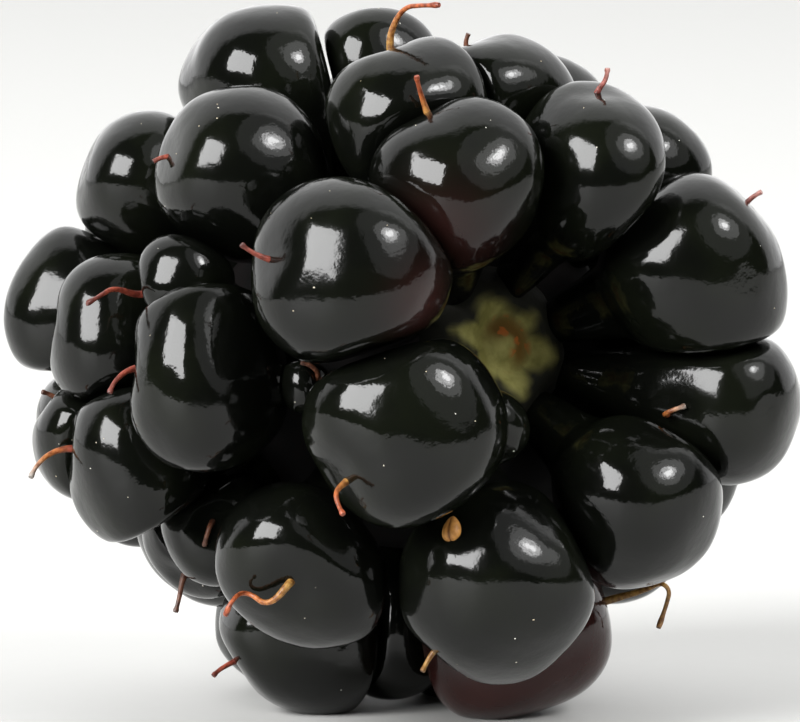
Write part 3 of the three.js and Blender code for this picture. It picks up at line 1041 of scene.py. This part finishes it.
# ---- The receptacle -----------------------------------------------------------------------------
@dataclass
class Receptacle:
    """The pale pith that the drupelets grew on, with pointed lobes between them and a stalk scar.

    profile is distances along the axis with radii, lobes is turns with how far out the unshaded pith
    reaches in mm before the painted shade past them, and scar_faces is the turns where the scar shows,
    with how many degrees each spreads.
    """

    profile: tuple[Pair, ...] = (
        (-6.4, 0),
        (-6.2, 0.7),
        (-5.4, 1.25),
        (-3.5, 1.8),
        (-1, 2.25),
        (1.4, 2.45),
        (3.4, 2.3),
        (4.3, 2.1),
        (4.62, 1.9),
        (4.86, 1.7),
        (5.0, 1.5),
        (5.05, 1.3),
        (5.02, 1.1),
        (4.92, 0.95),
        (4.82, 0.8),
        (4.78, 0.6),
        (4.82, 0.45),
        (4.9, 0.3),
        (4.92, 0.15),
        (4.92, 0),
    )
    sides: int = 120
    lobes: tuple[Pair, ...] = (
        (6, 0.9),
        (26, 0.77),
        (52, 1.03),
        (75, 0.77),
        (108, 1.38),
        (145, 0.82),
        (170, 1.38),
        (205, 0.86),
        (230, 1.2),
        (262, 0.86),
        (285, 1.63),
        (303, 1.03),
        (325, 1.29),
        (346, 1.12),
    )
    usual_reach: float = 1.3
    reach_share: float = 0.3
    rim_along: Pair = (3.4, 4.6)
    rim_radius: Pair = (0.6, 1.2)
    fade: float = 0.3
    scar_radius: Pair = (0.1, 0.72)
    scar_fade: float = 0.15
    scar_from: float = 4.0
    scar_faces: tuple[Pair, ...] = ((335, 45), (45, 55), (120, 40))

    def reach_at(self, turns: Array) -> Array:
        """How far out the unshaded pith reaches at each turn, in mm, before its painted shade: most
        between two drupelets.
        """
        at, reach = np.array(self.lobes).T
        return np.interp(turns, at, reach, period=360)

    def scar_at(self, turns: Array) -> Array:
        """How bruised the scar's ring is at each turn, from 0 to 1: it isn't a whole ring."""
        off = [(turns - turn + 180) % 360 - 180 for turn, _ in self.scar_faces]
        parts = [np.exp(-((gap / wide) ** 2)) for gap, (_, wide) in zip(off, self.scar_faces)]
        return np.clip(sum(parts), 0, 1)

    def build(self, material: bpy.types.Material) -> bpy.types.Object:
        """Makes the receptacle with the attributes that its finish reads."""
        points, faces = lathe(self.profile, self.sides)
        along = points @ AXES.stemward
        across, up = points @ AXES.sideways, points @ AXES.upward
        radius = np.hypot(across, up)
        turns = np.degrees(np.arctan2(across, up)) % 360
        rim = np.interp(along, self.rim_along, (0, 1)) * np.interp(radius, self.rim_radius, (0, 1))
        unshaded_pith = self.reach_at(turns)
        wide = 1 + rim * self.reach_share * (unshaded_pith / self.usual_reach - 1)
        shaped = AXES.point(along, across * wide, up * wide)
        piece = mesh_object("receptacle_pith", AXES.placed(shaped), faces)
        reach = radius * wide
        # painted shade: share of near-black, from 0 on the unshaded pith to 1 past its lobes, blurred
        # over fade mm
        set_attribute(piece, "pith_shade", np.clip((reach - unshaded_pith) / self.fade + 0.5, 0, 1))
        near, far = self.scar_radius
        ends = (near, near + self.scar_fade, far - self.scar_fade, far)
        inside = np.interp(reach, ends, (0, 1, 1, 0))
        set_attribute(piece, "scar", inside * self.scar_at(turns) * (along > self.scar_from))
        piece.data.materials.append(material)
        return piece


# ---- The withered styles ------------------------------------------------------------------------
@dataclass
class WitheredStyles:
    """The thread that each drupelet keeps from its flower, stuck in the dimple of its skin."""

    berry: Berry
    sunk: float = 0.3
    step: float = 0.06
    fewest_steps: int = 6
    foot_radius: float = 0.11
    neck_radius: float = 0.075
    tip_radius: float = 0.05
    knob_radius: float = 0.075
    foot_share: float = 0.3
    knob_at: float = 0.96
    knob_share: float = 0.05
    colour_stops: tuple[float, float, float] = (0.15, 0.6, 1.0)
    sides: float = 10
    wobble: float = 0.02
    wobble_size: float = 0.5

    def line(self, drupelet: Drupelet) -> Array:
        """The middle line of one style, from inside the skin to its tip."""
        length = drupelet.seat.style.length + self.sunk
        steps = max(self.fewest_steps, round(length / self.step))
        ways = [drupelet.to_style, *(drupelet.heading(way) for way in drupelet.seat.style.way)]
        start = float(drupelet.skin_radius(drupelet.to_style)) - self.sunk
        point = drupelet.middle + drupelet.to_style * start
        points = [point]
        for k in range(steps):
            place = min(k / steps * (len(ways) - 1), len(ways) - 1.001)
            number = int(place)
            along = unit(ways[number] + (ways[number + 1] - ways[number]) * (place - number))
            point = point + along * length / steps
            points.append(point)
        return np.array(points)

    def thickness(self, share: Array) -> Array:
        """The radius along a style: a thick foot, a thin neck and a small knob at the tip."""
        swell = np.exp(-((share / self.foot_share) ** 2))
        foot = self.neck_radius + (self.foot_radius - self.neck_radius) * swell
        thin = foot + (self.tip_radius - self.neck_radius) * share
        bulge = np.exp(-(((share - self.knob_at) / self.knob_share) ** 2))
        return thin + (self.knob_radius - self.tip_radius) * bulge

    def colours(self, tint: Tint, share: Array) -> Array:
        """Colour at each point along a style, from its foot to its tip."""
        channels = zip(*(linear(colour) for colour in tint.value))
        return np.stack([np.interp(share, self.colour_stops, one) for one in channels], axis=1)

    def threads(self, material: bpy.types.Material) -> NodePiece:
        """The tree that gives each line its thickness."""
        sizes = {"Sides": self.sides, "Wobble": self.wobble * MM}
        piece = NodePiece("withered styles", sizes, material)
        given = piece.given
        noise = {"Scale": per_mm(self.wobble_size), "Detail": 1.0}
        wander = piece.add("ShaderNodeTexNoise", noise)
        centred = {0: wander.outputs["Color"], 1: (0.5, 0.5, 0.5)}
        off = piece.add("ShaderNodeVectorMath", centred, operation="SUBTRACT").outputs["Vector"]
        bent = piece.shifted(given["Geometry"], off, given["Wobble"])
        curve = piece.add("GeometryNodeMeshToCurve", {"Mesh": bent})
        thick = piece.add("GeometryNodeInputNamedAttribute", {"Name": "thickness"}, data_type="FLOAT")
        count = piece.add("FunctionNodeFloatToInt", {"Float": given["Sides"]})
        section = {"Resolution": count.outputs["Integer"], "Radius": 1.0}
        circle = piece.add("GeometryNodeCurvePrimitiveCircle", section)
        tube = piece.add(
            "GeometryNodeCurveToMesh",
            {
                "Curve": curve.outputs["Curve"],
                "Profile Curve": circle.outputs["Curve"],
                "Scale": thick.outputs["Attribute"],
                "Fill Caps": True,
            },
        )
        piece.end(tube.outputs["Mesh"])
        return piece

    def build(self, material: bpy.types.Material) -> bpy.types.Object:
        """Makes every style, as one piece."""
        points, edges, radii, colours = [], [], [], []
        for drupelet in (d for d in self.berry.drupelets if d.seat.style.length > 0):
            start = sum(map(len, points))
            line = AXES.placed(self.line(drupelet))
            share = np.linspace(0, 1, len(line))
            points.append(line)
            edges += [(start + k, start + k + 1) for k in range(len(line) - 1)]
            radii.append(self.thickness(share) * MM)
            colours.append(self.colours(drupelet.seat.style.tint, share))
        mesh = bpy.data.meshes.new("style_lines")
        mesh.from_pydata([tuple(p) for p in np.concatenate(points) * MM], edges, [])
        base = bpy.data.objects.new("style_lines", mesh)
        bpy.context.scene.collection.objects.link(base)
        set_attribute(base, "thickness", np.concatenate(radii))
        set_attribute(base, "thread_colour", np.concatenate(colours))
        return self.threads(material).run(base, "withered_styles")


# ---- The anther and the dust --------------------------------------------------------------------
@dataclass
class Anther:
    """A dried anther that fell on a drupelet: two pouches side by side, pointed at the top."""

    berry: Berry
    on: int = 11
    foot: Pair = (100.0, 125.0)
    width: float = 0.48
    length: float = 0.66
    lean: float = 0.25
    taper: float = 0.35
    waist: float = 0.72
    cleft: float = 0.07
    blunt_end: float = 0.42
    rings: int = 24
    sides: int = 32

    def build(self, material: bpy.types.Material) -> bpy.types.Object:
        """Makes the anther."""
        drupelet = self.berry.drupelets[self.on]
        to = drupelet.heading(self.foot)
        middle = drupelet.middle + to * float(drupelet.skin_radius(to))
        polar = np.linspace(0, math.pi, self.rings + 2)[1:-1, None]
        turn = 2 * math.pi * np.arange(self.sides)[None] / self.sides
        furrow = np.abs(np.cos(turn)) ** 0.5 * np.ones_like(polar)
        taper = 1 - self.taper * np.cos(polar)
        pouches = self.waist + (1 - self.waist) * furrow
        wide = np.sin(polar) * taper * pouches * self.width / 2
        cleft = self.cleft * (1 - furrow) * (polar > math.pi / 2)
        high = np.cos(polar) * self.length / 2 + cleft * self.length
        up = unit(AXES.upward - to * (AXES.upward @ to) + to * self.lean)
        side = unit(np.cross(up, to))
        front = np.cross(side, up)
        body = (
            (wide * np.cos(turn))[..., None] * side
            + (wide * np.sin(turn))[..., None] * -front
            + (high * np.ones_like(turn))[..., None] * up
        )
        ends = [up * self.length / 2, -up * self.length * self.blunt_end]
        points = np.concatenate([body.reshape(-1, 3), ends]) + middle
        faces = [(face[0], *face[:0:-1]) for face in ring_faces(self.sides, self.rings)]
        piece = mesh_object("dried_anther", AXES.placed(points), faces)
        set_attribute(piece, "furrow", np.concatenate([(1 - furrow).ravel(), [0.0, 1.0]]))
        piece.data.materials.append(material)
        return piece


@dataclass
class DustSpecks:
    """Specks of dust that settled on the open side of the drupelets."""

    density: float = 0.35
    radius: float = 0.028
    smallest: tuple[float, float, float] = (0.25, 0.25, 0.15)
    largest: tuple[float, float, float] = (1.2, 0.9, 0.4)
    seed: int = 11

    def scatter(self, material: bpy.types.Material, seed: int) -> NodePiece:
        """The tree that scatters specks where the skin is open."""
        sizes = {"Specks per square mm": self.density, "Speck radius": self.radius * MM}
        piece = NodePiece("dust specks", sizes, material)
        given = piece.given
        bare = piece.add("GeometryNodeInputNamedAttribute", {"Name": "bare"}, data_type="FLOAT")
        per_metre = calculate(piece.tree, "MULTIPLY", given["Specks per square mm"], 1 / MM**2)
        dense = calculate(piece.tree, "MULTIPLY", bare.outputs["Attribute"], per_metre)
        spread = piece.add(
            "GeometryNodeDistributePointsOnFaces",
            {"Mesh": given["Geometry"], "Density": dense, "Seed": seed},
        )
        speck = piece.add(
            "GeometryNodeMeshIcoSphere", {"Radius": given["Speck radius"], "Subdivisions": 1}
        )
        scale = piece.add(
            "FunctionNodeRandomValue",
            {0: self.smallest, 1: self.largest, "Seed": seed},
            data_type="FLOAT_VECTOR",
        )
        placed = piece.add(
            "GeometryNodeInstanceOnPoints",
            {
                "Points": spread.outputs["Points"],
                "Instance": speck.outputs["Mesh"],
                "Rotation": spread.outputs["Rotation"],
                "Scale": scale.outputs[0],
            },
        )
        piece.end(placed.outputs["Instances"])
        return piece

    def build(
        self, skins: Sequence[bpy.types.Object], material: bpy.types.Material
    ) -> bpy.types.Object:
        """Scatters specks on copies of the skins and joins them in one piece."""
        made = []
        for number, skin in enumerate(skins):
            copy = bpy.data.objects.new("dusted", skin.data.copy())
            bpy.context.scene.collection.objects.link(copy)
            made.append(self.scatter(material, self.seed + number).run(copy, "dust_specks"))
        with bpy.context.temp_override(
            active_object=made[0], selected_editable_objects=made, selected_objects=made
        ):
            bpy.ops.object.join()
        made[0].name = "dust_specks"
        return made[0]


# ---- Studio -------------------------------------------------------------------------------------
@dataclass(frozen=True)
class Lamp:
    """An area lamp that faces the berry.

    right and up are degrees from the camera's direction, seen from the berry; width and height are the
    angles that it spans; radiance is how bright its face is; distance is how far off it is in mm.
    """

    name: str
    right: float
    up: float
    width: float
    height: float
    radiance: float
    shape: str = "RECTANGLE"
    distance: float = 700.0

    def size(self, angle: float) -> float:
        """How far it reaches across an angle, in metres."""
        return 2 * self.distance * MM * math.tan(math.radians(angle / 2))


UMBRELLA_AT = (54.0, 36.0)
LAMPS = (
    Lamp("soft box", -49, 22, 40, 33, 20.0),
    Lamp("umbrella", *UMBRELLA_AT, 76, 76, 0.6, "ELLIPSE"),
    Lamp("umbrella middle", *UMBRELLA_AT, 42, 40, 2.2, "ELLIPSE", 680.0),
    Lamp("flash glow", *UMBRELLA_AT, 20, 18, 12.0, "ELLIPSE", 670.0),
    Lamp("flash bulb", *UMBRELLA_AT, 10, 9, 20.0, "ELLIPSE", 660.0),
)


@dataclass
class Studio:
    """A pale table in a white room, with its lamps, and the camera.

    The room is dim behind the camera: lean keeps it white overhead, and dim_from is where the white
    ends and where the dim part is whole, on the way from behind the berry to behind the camera.
    """

    azimuth: float = -33.0
    elevation: float = 6.0
    distance: float = 200.0
    lens: float = 360.0
    sensor: float = 36.0
    floor_side: float = 6000.0
    floor_front: float = 70.0
    white: str = "ffffff"
    dim: str = "181b18"
    lit: float = 1.5
    lean: float = -0.3
    dim_from: Pair = (-0.42, -0.22)

    def direction(self, right: float, up: float) -> Vector:
        """A direction from the berry, given in degrees round and up from the camera's."""
        azimuth = math.radians(self.azimuth + right)
        elevation = math.radians(self.elevation + up)
        level = math.cos(elevation)
        return Vector((math.sin(azimuth) * level, -math.cos(azimuth) * level, math.sin(elevation)))

    def camera(self) -> None:
        """Looks at the berry's middle from a little above the surface."""
        data = bpy.data.cameras.new("camera")
        data.lens, data.sensor_width = self.lens, self.sensor
        data.clip_start, data.clip_end = 0.01, 20.0
        camera = bpy.data.objects.new("camera", data)
        back = self.direction(0, 0)
        camera.location = (Vector(AXES.middle) + back * self.distance) * MM
        camera.rotation_mode = "QUATERNION"
        camera.rotation_quaternion = (-back).to_track_quat("-Z", "Y")
        bpy.context.scene.collection.objects.link(camera)
        bpy.context.scene.camera = camera

    def lamp(self, lamp: Lamp) -> None:
        """Adds one lamp."""
        data = bpy.data.lights.new(lamp.name, "AREA")
        data.shape = lamp.shape
        data.size, data.size_y = lamp.size(lamp.width), lamp.size(lamp.height)
        area = data.size * data.size_y * (math.pi / 4 if lamp.shape == "ELLIPSE" else 1)
        data.energy = lamp.radiance * math.pi * area
        made = bpy.data.objects.new(lamp.name, data)
        to = self.direction(lamp.right, lamp.up)
        made.location = (Vector(AXES.middle) + to * lamp.distance) * MM
        made.rotation_mode = "QUATERNION"
        made.rotation_quaternion = to.to_track_quat("Z", "Y")
        made.visible_camera = False
        bpy.context.scene.collection.objects.link(made)

    def room(self) -> None:
        """A room that is white behind the berry and dim behind the camera."""
        world = bpy.data.worlds.new("studio room")
        world.use_nodes = True
        tree = world.node_tree
        tree.nodes.clear()
        towards = self.direction(0, 0)
        where = add_node(tree, "ShaderNodeTexCoord").outputs["Generated"]
        facing = add_node(
            tree,
            "ShaderNodeVectorMath",
            {0: where, 1: (towards.x, towards.y, self.lean)},
            operation="DOT_PRODUCT",
        ).outputs["Value"]
        share = ramp(tree, facing, *self.dim_from)
        colour = blend(tree, share, linear(self.white), linear(self.dim))
        lit = add_node(tree, "ShaderNodeBackground", {"Color": colour, "Strength": self.lit})
        white = {"Color": linear(self.white), "Strength": 1.0}
        plain = add_node(tree, "ShaderNodeBackground", white)
        seen = add_node(tree, "ShaderNodeLightPath").outputs["Is Camera Ray"]
        both = add_node(
            tree,
            "ShaderNodeMixShader",
            {0: seen, 1: lit.outputs["Background"], 2: plain.outputs["Background"]},
        )
        add_node(tree, "ShaderNodeOutputWorld", {"Surface": both.outputs["Shader"]})
        bpy.context.scene.world = world

    def floor(self) -> None:
        """The table top, whose front side is near the berry."""
        half = self.floor_side / 2
        azimuth = math.radians(self.azimuth)
        front = np.array([math.sin(azimuth), -math.cos(azimuth), 0.0])
        right = np.array([math.cos(azimuth), math.sin(azimuth), 0.0])
        near, far = front * self.floor_front, -front * half
        right = right * half
        corners = np.array([near - right, near + right, far + right, far - right])
        floor = mesh_object("table_top", corners, [(0, 1, 2, 3)])
        floor.data.materials.append(PaleTable().material())
        floor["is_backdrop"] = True

    def build(self) -> None:
        """Sets the studio up."""
        self.camera()
        self.room()
        self.floor()
        for lamp in LAMPS:
            self.lamp(lamp)
        scene = bpy.context.scene
        scene.view_settings.view_transform = "Standard"
        scene.view_settings.look = "None"
        scene.cycles.use_denoising = True


# ---- Putting it together ------------------------------------------------------------------------
def dress(piece: bpy.types.Object, slot: str, node: str, box: tuple[Vector, Vector]) -> None:
    """Keeps a piece inside the solids' box and ties it to the frame.

    Args:
        piece: the finished piece.
        slot: the material slot that it answers to, which is only logged.
        node: the CAD node that it stands for.
        box: the two corners of the solids' box.
    """
    keep_inside(piece, box)
    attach(piece, ROOT_BODY)
    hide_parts(node)
    LOG.info("%s: %d faces, slot %s", piece.name, len(piece.data.polygons), slot)


def main() -> None:
    """Builds the berry round the frame, then the studio."""
    logging.basicConfig(level=logging.INFO, format="%(name)s: %(message)s")
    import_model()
    cad_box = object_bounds()
    berry = Berry()
    LOG.info("%d drupelets", len(berry.drupelets))
    skins = Drupelets(berry).build(RipeSkin().material())
    for skin in skins:
        dress(skin, "drupelet_skin", "drupelets", cad_box)
    pieces = (
        (FleshCore().build(DarkFlesh().material()), "drupelet_skin", "drupelets"),
        (WitheredStyles(berry).build(WitheredThread().material()), "withered_style", "drupelets"),
        (Anther(berry).build(DryHusk().material()), "withered_style", "drupelets"),
        (DustSpecks().build(skins, Dust().material()), "drupelet_skin", "drupelets"),
        (Receptacle().build(Pith().material()), "receptacle", "receptacle"),
    )
    for piece, slot, node in pieces:
        dress(piece, slot, node, cad_box)
    Studio().build()


if __name__ == "__main__":
    main()
